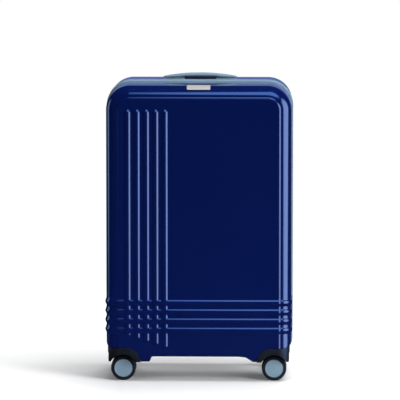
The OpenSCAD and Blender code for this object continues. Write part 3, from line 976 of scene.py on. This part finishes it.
@dataclass
class Seam:
    """Bindings, zip and woven hinge between the halves, in millimetres."""

    nodes: dict
    teeth: int = 900
    proud: float = 3.0
    top_r: float = 56.0
    low_r: float = 28.0
    tooth_y: float = 1.95

    def __post_init__(self) -> None:
        """Takes the outline's sizes from the frame."""
        low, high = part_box("front_binding")
        self.half_w, self.low, self.high = (high[0] / MM - self.proud, low[2] / MM + self.proud,
                                            high[2] / MM - self.proud)

    def outline(self, out: float, count: int) -> list[Point]:
        """Lays evenly spaced points round the seam.

        Args:
            out: how far outside the shell's outline they lie.
            count: number of points.

        Returns:
            The points as (x, z, turn), with the turn in radians.
        """
        w, r1, r2 = self.half_w, self.top_r, self.low_r
        legs = [((w, self.low + r2), (w, self.high - r1), 0.0), ((w - r1, self.high - r1), r1, 0.0),
                ((w - r1, self.high), (r1 - w, self.high), math.pi / 2), ((r1 - w, self.high - r1), r1, math.pi / 2),
                ((-w, self.high - r1), (-w, self.low + r2), math.pi), ((r2 - w, self.low + r2), r2, math.pi),
                ((r2 - w, self.low), (w - r2, self.low), 1.5 * math.pi), ((w - r2, self.low + r2), r2, 1.5 * math.pi)]
        lengths = [math.pi / 2 * leg[1] if isinstance(leg[1], float) else math.dist(leg[0], leg[1]) for leg in legs]
        total, points = sum(lengths), []
        for k in range(count):
            s, leg = total * k / count, 0
            while s > lengths[leg]:
                s -= lengths[leg]
                leg += 1
            first, second, turn = legs[leg]
            if isinstance(second, float):
                turn += s / second
                x, z = first[0] + second * math.cos(turn), first[1] + second * math.sin(turn)
            else:
                f = s / lengths[leg]
                x, z = first[0] + (second[0] - first[0]) * f, first[1] + (second[1] - first[1]) * f
            points.append((x + out * math.cos(turn), z + out * math.sin(turn), turn))
        return points

    def bindings(self) -> None:
        """Dresses both bindings: one smooth swept ring each."""
        for half in Half:
            profile = [(-5.0, 9.0), (-5.0, 18.0), (1.0, 18.0)]
            profile += arc(1.0, 16.0, 2.0, 1, 0, 6) + [(3.0, 9.6), (2.4, 9.0)]
            points = self.outline(0.0, 420)
            count = len(profile)

            def place(i: int, j: int) -> Point:
                """Place of a point of the swept profile."""
                x, z, turn = points[i % len(points)]
                out, y = profile[j % count]
                return ((x + out * math.cos(turn)) * MM, half.value * y * MM, (z + out * math.sin(turn)) * MM)

            obj = sheet_from_grid(half.label + "_binding_ring", len(points), count, place)
            clean(obj, 1e-5)
            smooth(obj, 50)
            PALE_BLUE.dress(obj)
            settle(obj, "binding_blue", half.body, half.label + "_binding")

    def zips(self) -> None:
        """Tape and coil teeth on each half."""
        for half in Half:
            node = half.label + "_zip_chain"
            settle(refined(self.nodes, node, TAPE, 0.2, 1, node + "_tape"), "zip_tape", half.body)
            settle(self._coil(half, node + "_coil"), "zip_tape", half.body)

    def _coil(self, half: Half, name: str) -> Object:
        """Models one tooth, repeats it in a row and lays the row round the outline, without the hinge's stretch.

        Args:
            half: the half it is sewn to.
            name: name of the piece.

        Returns:
            The row of teeth.
        """
        deselect()
        bpy.ops.mesh.primitive_cube_add(size=1, location=(0.5, 0, 0))
        coil = added(name)
        row = coil.modifiers.new("row", "ARRAY")
        row.count, row.relative_offset_displace = self.teeth, (1.0, 0.0, 0.0)
        row.use_relative_offset = False
        row.use_constant_offset, row.constant_offset_displace = True, (2.0, 0.0, 0.0)
        apply_modifiers(coil)
        points = self.outline(0.3, self.teeth)
        for vertex in coil.data.vertices:
            k = min(int(vertex.co.x / 2), self.teeth - 1)
            x, z, turn = points[k]
            along, across, up = (vertex.co.x - 2 * k - 0.5) * 1.25, vertex.co.y * 3.2, vertex.co.z
            vertex.co = ((x + up * math.cos(turn) - along * math.sin(turn)) * MM,
                         half.value * (self.tooth_y + across) * MM,
                         (z + up * math.sin(turn) + along * math.cos(turn)) * MM)
        low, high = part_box("back_hinge_leaf")
        edit(coil, "DESELECT")
        end_edit()
        for vertex in coil.data.vertices:
            vertex.select = vertex.co.x < low[0] + 0.01 and low[2] - 0.002 < vertex.co.z < high[2] + 0.002
        edit(coil, "")
        bpy.ops.mesh.delete(type="VERT")
        bpy.ops.mesh.select_all(action="SELECT")
        bpy.ops.mesh.normals_make_consistent(inside=False)
        end_edit()
        TEETH.dress(coil)
        return coil

    def hinge(self) -> None:
        """One woven strip across the lid hinge, with fine ridges in its weave."""
        low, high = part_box("back_hinge_leaf")
        reach = high[1]
        x0, x1 = low[0], high[0]

        def place(i: int, j: int) -> Point:
            """Place of a point of the strip, with its woven ridges."""
            y = -reach + 2 * reach * i / 36
            z = low[2] + (high[2] - low[2]) * j / 120
            ridge = 0.00012 * math.cos(2 * math.pi * i / 6)
            return (x0 + 0.0003 + ridge, y, z)

        obj = sheet_from_grid("woven_hinge", 36, 120, place)
        mod = obj.modifiers.new("cloth", "SOLIDIFY")
        mod.thickness, mod.offset = (x1 - x0) * 0.6, 1.0
        apply_modifiers(obj)
        clean(obj)
        smooth(obj, 50)
        WEBBING.dress(obj)
        settle(obj, "hinge_webbing", "", "front_hinge_leaf", "back_hinge_leaf")
        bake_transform(obj)

    def sliders(self) -> None:
        """Two metal sliders with their pulls."""
        for which in ("upper", "lower"):
            settle(refined(self.nodes, "zip_slider_" + which, STEEL, 0.25, 2), "zip_metal", which + "_slider")


# ---------------------------------------------------------------- casters


@dataclass
class WheelForm:
    """One wheel of a twin pair, in millimetres; y runs out from the pair's middle."""

    radius: float = 28.5
    hub: float = 21.0
    inner: float = 7.0
    outer: float = 24.0
    bore: float = 3.05

    def tyre_profile(self) -> Profile:
        """Round-shouldered tread with two fine grooves."""
        r, y0, y1, q = self.radius, self.inner, self.outer - 1.0, 3.2
        points = [(self.hub + 0.02, y0), (r - q, y0)]
        points += arc(r - q, y0 + q, q, -1, 0, 6)[1:]
        for groove in (y0 + 5.6, y1 - 5.6):
            points += [(r, groove - 0.45), (r - 0.7, groove - 0.2), (r - 0.7, groove + 0.2), (r, groove + 0.45)]
        points += arc(r - q, y1 - q, q, 0, 1, 6)
        points += [(self.hub + 2.6, y1), (self.hub + 2.2, y1 - 0.5), (self.hub + 0.9, y1 - 0.5),
                   (self.hub + 0.02, y1)]
        return in_metres(points)

    def hub_profile(self) -> Profile:
        """Hub with a recess on its inner face and a bore."""
        y0, y1 = self.inner + 0.3, self.outer - 2.5
        points = [(self.bore, y0), (7.0, y0), (7.4, y0 + 6), (16.6, y0 + 6), (17.0, y0), (self.hub - 0.6, y0),
                  (self.hub, y0 + 0.6), (self.hub, y1), (self.bore, y1)]
        return in_metres(points)

    def cap_profile(self) -> Profile:
        """Shallow cap with a raised rim, a flat dish and a small middle dimple."""
        y0, y1, r = self.outer - 2.5, self.outer, self.hub - 0.3
        points = [(0.0, y0), (r, y0), (r, y1 - 0.7)]
        points += arc(r - 0.7, y1 - 0.7, 0.7, 0, 1, 4)[1:]
        points += [(r - 1.6, y1), (r - 2.3, y1 - 0.55), (r - 3.0, y1 - 0.6), (4.6, y1 - 0.5), (3.9, y1 - 0.32),
                   (3.0, y1 - 0.32), (2.3, y1 - 0.6), (1.2, y1 - 0.95), (0.0, y1 - 1.0)]
        return in_metres(points)


@dataclass
class Casters:
    """Housings, forks, fixings and twin wheels of the four corners."""

    nodes: dict
    form: WheelForm

    def _pair(self, name: str, profile: Profile, finish: Finish) -> Object:
        """Spins one wheel piece and mirrors it into a twin pair.

        Args:
            name: name of the pair.
            profile: the outer wheel's section.
            finish: its finish.

        Returns:
            The pair, round the middle of its axle.
        """
        outer = spun(name + "_a", profile)
        inner = moved(copied(outer, name + "_b"), Matrix.Scale(-1, 4, (0, 1, 0)))
        pair = joined([outer, inner], name)
        smooth(pair, 32)
        finish.dress(pair)
        return pair

    def build(self) -> None:
        """Models one pair of each wheel piece and sets copies at the four corners."""
        masters = {
            "tyres": (self._pair("tyre_pair", self.form.tyre_profile(), TYRE), "tyre_black"),
            "hubs": (self._pair("hub_pair", self.form.hub_profile(), HUB_GREY), "hub_grey"),
            "caps": (self._pair("cap_pair", self.form.cap_profile(), CAP_BLUE), "cap_blue"),
        }
        for corner in Corner:
            label = corner.label
            low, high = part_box("tyres_" + label)
            middle = Matrix.Translation([(a + b) / 2 for a, b in zip(low, high)])
            for kind, (master, slot) in masters.items():
                obj = moved(copied(master, f"{kind}_{label}_piece"), middle)
                settle(obj, slot, "wheels_" + label, f"{kind}_{label}")
            settle(refined(self.nodes, "housing_" + label, HOUSING_BLACK, 0.9), "housing_black",
                   corner.value[1].body)
            settle(refined(self.nodes, "fork_" + label, FORK_BLACK, 0.8), "fork_black", "caster_" + label)
            STEEL.dress(self.nodes["axle_" + label])
        for master, _ in masters.values():
            bpy.data.objects.remove(master)
        for half in Half:
            STEEL.dress(self.nodes[half.label + "_caster_fixings"])


# ---------------------------------------------------------------- handles, badge, lock


@dataclass
class CarryHandle:
    """Arched carry grip on two end mounts, with its guide pins and crossbar, in metres."""

    nodes: dict
    arch: float = 0.0079
    depth: float = 0.0105
    hollow: float = 0.0024
    pin_x: float = 0.062
    pin_r: float = 0.003
    count: int = 72
    around: int = 28

    def __post_init__(self) -> None:
        """Takes the grip's place from the frame."""
        low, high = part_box("carry_grip")
        self.half, self.top = high[0], high[2]
        self.mid_y, self.half_d = (low[1] + high[1]) / 2, (high[1] - low[1]) / 2
        self.tip = self.top - self.depth
        self.bar_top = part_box("carry_crossbar")[1][2]

    def build(self) -> None:
        """Models the grip and its pins and dresses the mounts."""

        def place(i: int, j: int) -> Point:
            """Place of a point on the grip: flat-sided rounds that close at both ends."""
            t = -1 + 2 * i / self.count
            x = self.half * math.sin(t * math.pi / 2)
            f = x / self.half
            upper = self.top - self.arch * f * f
            lower = self.tip + self.hollow * (1 - ease((abs(x) - 0.034) / 0.014))
            close = max(0.0, 1 - abs(f) ** 14) ** 0.5
            half_z = (upper - lower) / 2 * close
            half_y = self.half_d * (0.80 + 0.20 * (1 - abs(f) ** 3)) * close
            a = 2 * math.pi * j / self.around
            c, s = math.cos(a), math.sin(a)
            y = self.mid_y + half_y * math.copysign(abs(c) ** 0.6, c)
            z = (upper + lower) / 2 + half_z * math.copysign(abs(s) ** 0.75, s)
            return (x, y, z)

        grip = sheet_from_grid("carry_grip_moulding", self.count, self.around, place)
        clean(grip, 2e-6)
        smooth(grip, 60)
        PALE_BLUE.dress(grip)
        settle(grip, "handle_blue", "carry_handle", "carry_grip")
        z0, z1 = self.bar_top, self.tip + 0.001
        upright, pins = Matrix.Rotation(math.pi / 2, 4, "X"), []
        for sx in (-1, 1):
            pin = spun(f"pin{sx}", [(0, z0), (self.pin_r, z0), (self.pin_r, z1), (0, z1)], 32)
            pins.append(moved(pin, Matrix.Translation((sx * self.pin_x, self.mid_y, 0)) @ upright))
        guide = joined(pins, "carry_guide_pins")
        smooth(guide)
        STEEL.dress(guide)
        settle(guide, "steel", "carry_handle")
        settle(refined(self.nodes, "carry_mounts", PALE_BLUE, 1.6, 4), "handle_blue", "back_half")
        for node in ("carry_crossbar", "carry_screws"):
            STEEL.dress(self.nodes[node])


@dataclass
class Badge:
    """Small metal plate bent over the top front edge, with a plain sunk border and no lettering."""

    half_w: float = 27.0
    half_s: float = 10.4
    corner: float = 3.2
    thick: float = 1.4
    middle: float = 24.0
    edge: float = 26.0
    face_proud: float = 4.8

    def build(self) -> None:
        """Models the bent plate and dresses it."""
        low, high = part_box("front_shell")
        top, face = high[2], -low[1] - self.face_proud * MM
        start = math.radians(self.middle)

        def place(i: int, j: int) -> Point:
            """Place of a point of the plate, with rounded corners and a sunk border."""
            x = self.half_w * (-1 + 2 * i / 90)
            s = self.half_s * (-1 + 2 * j / 36)
            over_x, over_s = abs(x) - self.half_w + self.corner, abs(s) - self.half_s + self.corner
            if over_x > 0 and over_s > 0:
                reach = max(over_x, over_s) / math.hypot(over_x, over_s)
                x = math.copysign(self.half_w - self.corner + over_x * reach, x)
                s = math.copysign(self.half_s - self.corner + over_s * reach, s)
            inset = min(self.half_w - abs(x), self.half_s - abs(s))
            h = self.thick - 0.28 * math.exp(-((inset - 1.7) / 0.42) ** 2)
            a = start + s / self.edge
            out = (self.edge + 0.05 + h) * MM
            return (x * MM, -(face - self.edge * MM) - out * math.sin(a), top - self.edge * MM + out * math.cos(a))

        plate = sheet_from_grid("badge_plate", 90, 36, place)
        mod = plate.modifiers.new("plate", "SOLIDIFY")
        mod.thickness, mod.offset = 1.2 * MM, 1.0
        edge = plate.modifiers.new("edge", "BEVEL")
        edge.width, edge.segments, edge.angle_limit = 0.3 * MM, 2, math.radians(60)
        apply_modifiers(plate)
        clean(plate, 1e-7)
        smooth(plate, 40)
        CHAMPAGNE.dress(plate)
        settle(plate, "badge_metal", "front_half", "badge")


@dataclass(frozen=True)
class RefinedPart:
    """A CAD node whose shape is kept, with softened edges and its own finish."""

    node: str
    body: str
    slot: str
    finish: Finish
    bevel: float = 0.5


REFINED = (
    RefinedPart("trolley_bezel", "back_half", "grip_black", GRIP_BLACK, 0.8),
    RefinedPart("pull_grip", "pull_stage", "grip_black", GRIP_BLACK, 2.2),
    RefinedPart("pull_button", "pull_release", "button_grey", BUTTON_GREY, 0.7),
    RefinedPart("trolley_foot", "back_half", "housing_black", HOUSING_BLACK, 1.5),
    RefinedPart("trolley_middle_tubes", "middle_stage", "tube_aluminium", ALUMINIUM, 0.4),
    RefinedPart("trolley_inner_tubes", "pull_stage", "tube_aluminium", ALUMINIUM, 0.4),
    RefinedPart("lock_body", "back_half", "lock_black", FORK_BLACK, 0.8),
    RefinedPart("lock_button", "lock_slide", "button_grey", BUTTON_GREY, 0.5),
    RefinedPart("strap_buckle", "back_half", "buckle_black", FORK_BLACK, 1.6),
    RefinedPart("packing_strap", "back_half", "strap_webbing", WEBBING, 0.3),
    RefinedPart("trolley_cover", "back_half", "lining_cloth", LINING, 0.5),
)


@dataclass
class Hardware:
    """Pull handle, lock and strap: CAD shapes with softened edges, and knurled dials."""

    nodes: dict
    teeth: int = 40
    knurl: float = 0.03
    dial_bore: float = 0.0015

    def build(self) -> None:
        """Dresses every piece of the hardware."""
        for part in REFINED:
            settle(refined(self.nodes, part.node, part.finish, part.bevel), part.slot, part.body)
        ALUMINIUM.dress(self.nodes["trolley_outer_tubes"])
        STEEL.dress(self.nodes["release_bar"])
        for i in (1, 2, 3):
            self._dial(i)

    def _dial(self, number: int) -> None:
        """Spins a dial and presses its knurling in."""
        low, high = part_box(f"lock_dial_{number}")
        radius, height = (high[0] - low[0]) / 2, high[2] - low[2]
        points = [(self.dial_bore, 0.0), (radius - 0.0007, 0.0), (radius, 0.0006), (radius, height - 0.0006),
                  (radius - 0.0007, height), (self.dial_bore, height)]
        dial = spun(f"lock_dial_{number}_knurled", points, self.teeth * 4)
        for vertex in dial.data.vertices:
            reach = math.hypot(vertex.co.x, vertex.co.z)
            if reach > radius * 0.98:
                turn = math.atan2(vertex.co.z, vertex.co.x)
                keep = 1 - self.knurl * (0.5 + 0.5 * math.cos(self.teeth * turn))
                vertex.co.x *= keep
                vertex.co.z *= keep
        moved(dial, Matrix.Translation(((low[0] + high[0]) / 2, (low[1] + high[1]) / 2, low[2]))
              @ Matrix.Rotation(math.pi / 2, 4, "X"))
        smooth(dial, 30)
        STEEL.dress(dial)
        settle(dial, "dial_metal", f"dial_{number}", f"lock_dial_{number}")


# ---------------------------------------------------------------- linings


@dataclass
class Linings:
    """Sewn cloth linings: soft tubs with folds and sewn channels, in millimetres."""

    seam: float = 19.0
    thick: float = 0.8
    front_corner: float = 50.0
    back_corner: float = 30.0
    low_corner: float = 30.0
    edge: float = 22.0
    channel_gap: float = 1.6
    channel_side: float = 3.0
    lock_gap: float = 1.0

    def _soft(self, x: float, z: float, depth: float, n_depth: float) -> float:
        """How far the cloth stands off its form.

        Args:
            x: X of the point.
            z: Z of the point.
            depth: its distance from the seam.
            n_depth: how squarely the cloth faces away from the seam.

        Returns:
            The height, below zero inside the form.
        """
        fold = noise.noise(Vector((x * 0.016, z * 0.011, depth * 0.02))) * 1.3
        fine = noise.noise(Vector((x * 0.06, z * 0.03, depth * 0.05))) * 0.45
        seam = -0.7 * math.exp(-((abs(x) % 62.0 - 31.0) / 1.6) ** 2) * max(0.0, n_depth)
        return -1.0 + min(0.7, 0.6 * (fold + fine)) + seam

    def build(self, half: Half) -> None:
        """Models the lining of one half."""
        low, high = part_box(half.label + "_lining")
        face, w = max(abs(low[1]), abs(high[1])) / MM, high[0] / MM
        bottom, top = low[2] / MM, high[2] / MM
        corner = self.front_corner if half is Half.FRONT else self.back_corner
        form = TubForm(w, bottom, top, face, self.seam, corner, self.low_corner, self.edge, self.edge)
        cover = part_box("trolley_cover")
        channel_x, channel_y = cover[1][0] / MM + self.channel_gap, cover[0][1] / MM - self.channel_gap
        side = self.channel_side

        def height(x: float, z: float, depth: float, n_depth: float) -> float:
            """Height of the cloth, sunk where it goes over the pull tubes' cover."""
            lift = self._soft(x, z, depth, n_depth)
            if half is Half.BACK and n_depth > 0.5:
                lift -= (face - channel_y) * ease((channel_x + side - abs(x)) / side)
            return lift

        columns = spaced([(-channel_x - side, 26), (-channel_x, 4), (channel_x, 36), (channel_x + side, 4),
                          (w - corner, 26)], corner - w)
        rows = spaced([(top - corner, 90)], bottom + self.low_corner)
        obj = form.build(half.label + "_lining_cloth", columns, rows, half.value, self.thick, height, height, None)
        if half is Half.BACK:
            lock_low, lock_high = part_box("lock_body")
            gap = self.lock_gap * MM
            cut(obj, box_tool([a - gap for a in lock_low], [a + gap for a in lock_high]))
        smooth(obj, 60)
        LINING.dress(obj)
        settle(obj, "lining_cloth", half.body, half.label + "_lining")


# ---------------------------------------------------------------- studio


def stage_shader(name: str, kind: str) -> tuple[Material, Node]:
    """Starts the material of a stage piece.

    Args:
        name: name of the material.
        kind: type of its shader, as for add_node.

    Returns:
        The material and its shader node.
    """
    mat = bpy.data.materials.new(name)
    mat.use_nodes = True
    tree = mat.node_tree
    tree.nodes.remove(tree.nodes["Principled BSDF"])
    shader = add_node(tree, kind)
    tree.links.new(shader.outputs[0], tree.nodes["Material Output"].inputs["Surface"])
    return mat, shader


def add_fade(tree: NodeTree, vector: NodeSocket, near: float, far: float, full: float) -> NodeSocket:
    """Adds a value that falls smoothly to nothing as a vector grows longer.

    Args:
        tree: the tree it goes in.
        vector: the vector.
        near: length up to which the value is full.
        far: length from which it is nothing.
        full: the full value.

    Returns:
        The value.
    """
    reach = add_node(tree, "VectorMath", operation="LENGTH")
    fade = add_node(tree, "MapRange", {"From Min": near, "From Max": far, "To Min": full, "To Max": 0.0},
                    interpolation_type="SMOOTHSTEP")
    tree.links.new(vector, reach.inputs[0])
    tree.links.new(reach.outputs["Value"], fade.inputs["Value"])
    return fade.outputs["Result"]


@dataclass(frozen=True)
class Card:
    """A glowing sheet that only reflections see, which gives the polished shell its soft highlights."""

    name: str
    place: Point
    width: float
    height: float
    colour: Point
    strength: float

    def build(self, target: Vector) -> None:
        """Sets the card up, facing the case, with edges that fade."""
        deselect()
        bpy.ops.mesh.primitive_plane_add(size=1)
        card = added(self.name)
        turn = (target - Vector(self.place)).to_track_quat("Z", "Y").to_matrix().to_4x4()
        card.data.transform(Matrix.Diagonal((self.width, self.height, 1, 1)))
        card.matrix_world = Matrix.Translation(self.place) @ turn
        mat, glow = stage_shader(self.name, "Emission")
        tree = mat.node_tree
        glow.inputs["Color"].default_value = (*self.colour, 1)
        centre = add_node(tree, "VectorMath", {1: (0.5, 0.5, 0.5)}, operation="SUBTRACT")
        tree.links.new(add_node(tree, "TexCoord").outputs["Generated"], centre.inputs[0])
        tree.links.new(add_fade(tree, centre.outputs[0], 0.25, 0.5, self.strength), glow.inputs["Strength"])
        card.data.materials.append(mat)
        card.visible_camera = card.visible_diffuse = card.visible_shadow = False


@dataclass(frozen=True)
class Lamp:
    """A soft box that lights the surfaces but leaves no mirror image in them."""

    name: str
    place: Point
    width: float
    height: float
    power: float

    def build(self, target: Vector) -> None:
        """Sets the lamp up, facing the case."""
        data = bpy.data.lights.new(self.name, "AREA")
        data.shape, data.size, data.size_y, data.energy = "RECTANGLE", self.width, self.height, self.power
        lamp = bpy.data.objects.new(self.name, data)
        lamp.location = self.place
        lamp.rotation_euler = (target - Vector(self.place)).to_track_quat("-Z", "Y").to_euler()
        lamp.visible_camera = lamp.visible_glossy = False
        bpy.context.collection.objects.link(lamp)


LAMPS = (
    Lamp("sky_box", (0.9, -0.3, 5.0), 3.0, 3.0, 235.0),
    Lamp("right_box", (3.4, -2.8, 2.0), 1.6, 2.2, 150.0),
    Lamp("left_box", (-3.0, -2.4, 1.6), 1.2, 1.8, 30.0),
    Lamp("rear_box", (0.4, 4.2, 1.5), 3.0, 1.6, 210.0),
)
CARDS = (
    Card("front_high_card", (0.75, -2.3, 2.7), 3.2, 2.6, (0.18, 0.38, 1.0), 4.4),
    Card("right_card", (3.0, -1.6, 0.6), 4.2, 4.6, (0.36, 0.52, 1.0), 5.6),
    Card("left_card", (-3.4, 0.7, 0.8), 1.8, 3.0, (0.32, 0.5, 1.0), 2.0),
    Card("rear_card", (0.6, 3.6, 0.7), 6.4, 2.8, (0.30, 0.42, 1.0), 0.42),
)


@dataclass
class Studio:
    """Pale floor, soft boxes and the camera, in metres and degrees."""

    aim: Point = (0.0, 0.0, 0.4055)
    lit_at: Point = (0.0, 0.0, 0.35)
    distance: float = 10.0
    azimuth: float = 1.5
    elevation: float = 7.0
    lens: float = 387.0
    floor_r: float = 1.6

    def build(self) -> None:
        """Makes the whole studio."""
        bpy.context.scene.view_settings.view_transform = "Standard"
        self._floor()
        self._world()
        for piece in LAMPS + CARDS:
            piece.build(Vector(self.lit_at))
        self._camera()

    def _floor(self) -> None:
        """Lays a pale disc that fades out at its rim."""
        deselect()
        bpy.ops.mesh.primitive_circle_add(vertices=96, radius=self.floor_r, fill_type="NGON")
        floor = added("studio_floor")
        mat, shader = stage_shader("pale_floor", "BsdfPrincipled")
        tree = mat.node_tree
        for key, value in (("Base Color", (0.84, 0.84, 0.84, 1)), ("Roughness", 0.7), ("Specular IOR Level", 0.0),
                           ("Emission Color", (1, 1, 1, 1)), ("Emission Strength", 0.05)):
            shader.inputs[key].default_value = value
        place = add_node(tree, "TexCoord").outputs["Object"]
        tree.links.new(add_fade(tree, place, 0.5, 1.5, 1.0), shader.inputs["Alpha"])
        floor.data.materials.append(mat)
        floor.visible_glossy = False

    def _world(self) -> None:
        """White air behind the case, which lights it only faintly."""
        world = bpy.data.worlds.new("studio_air")
        bpy.context.scene.world = world
        world.use_nodes = True
        tree, link = world.node_tree, world.node_tree.links.new
        seen = tree.nodes["Background"]
        seen.inputs["Color"].default_value = (1, 1, 1, 1)
        seen.inputs["Strength"].default_value = 1.0
        lit = add_node(tree, "Background", {"Color": (0.7, 0.8, 1.0, 1), "Strength": 0.018})
        mix = add_node(tree, "MixShader")
        link(add_node(tree, "LightPath").outputs["Is Camera Ray"], mix.inputs[0])
        link(lit.outputs[0], mix.inputs[1])
        link(seen.outputs[0], mix.inputs[2])
        link(mix.outputs[0], tree.nodes["World Output"].inputs["Surface"])

    def _camera(self) -> None:
        """Sets the camera up, a little above the case and a little to its right."""
        data = bpy.data.cameras.new("camera")
        data.lens, data.sensor_width = self.lens, 36.0
        camera = bpy.data.objects.new("camera", data)
        a, e = math.radians(self.azimuth), math.radians(self.elevation)
        back = Vector((math.sin(a) * math.cos(e), -math.cos(a) * math.cos(e), math.sin(e)))
        camera.location = Vector(self.aim) + back * self.distance
        camera.rotation_euler = (-back).to_track_quat("-Z", "Y").to_euler()
        data.clip_start, data.clip_end = 0.1, 100
        bpy.context.collection.objects.link(camera)
        bpy.context.scene.camera = camera


def main() -> None:
    """Builds the case round its frame."""
    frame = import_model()
    nodes = frame["nodes"]
    Studio().build()
    for half in Half:
        ShellHalf(half).build()
        Linings().build(half)
    seam = Seam(nodes)
    seam.bindings()
    seam.zips()
    seam.hinge()
    seam.sliders()
    Casters(nodes, WheelForm()).build()
    CarryHandle(nodes).build()
    Badge().build()
    Hardware(nodes).build()


if __name__ == "__main__":
    main()
